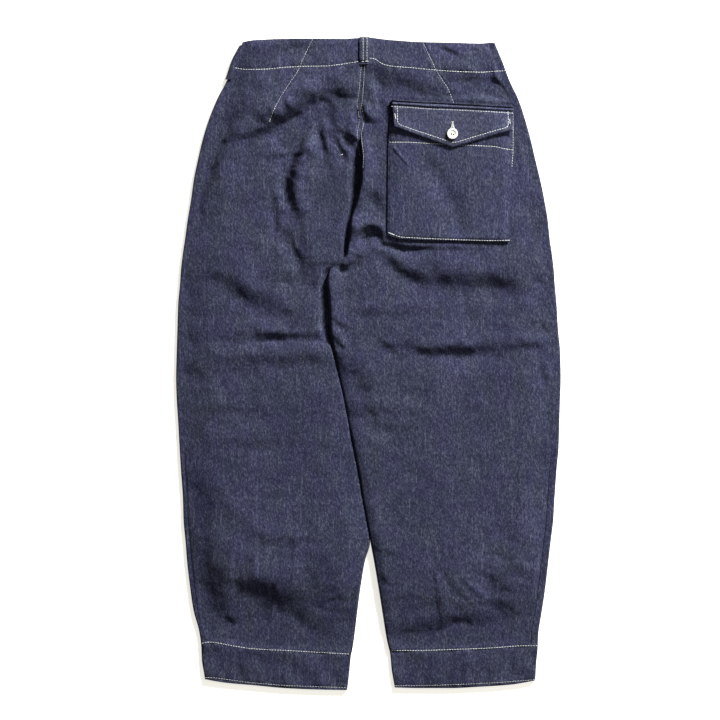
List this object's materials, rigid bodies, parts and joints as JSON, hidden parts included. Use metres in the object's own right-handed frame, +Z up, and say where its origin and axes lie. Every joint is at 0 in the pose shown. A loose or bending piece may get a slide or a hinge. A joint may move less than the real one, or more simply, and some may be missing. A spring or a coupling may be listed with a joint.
{
  "type": "denim trousers laid flat",
  "caption": "Wide denim trousers lying flat with the back up, tapering to banded cuffs, with darts, a belt loop and a buttoned flap pocket.",
  "frame": {"origin": "on the table, under the middle of the box round the garment", "axes": "+Y from the hems to the waist, +X to the wearer's right, which is the side with the pocket, +Z up out of the back"},
  "size_m": [0.5658, 0.96, 0.0196],
  "materials": {
    "denim": "raw indigo denim, matt, with a slubby vertical weave",
    "thread": "ecru sewing thread",
    "button": "off-white polished button"
  },
  "bodies": {
    "root": {"left_back": "denim", "right_back": "denim", "left_front": "denim", "right_front": "denim", "left_cuff": "denim", "right_cuff": "denim", "pocket_gusset": "denim", "pocket_face": "denim", "pocket_flap": "denim", "flap_button": "button", "centre_back_loop": "denim", "left_side_loop": "denim"}
  },
  "joints": []
}
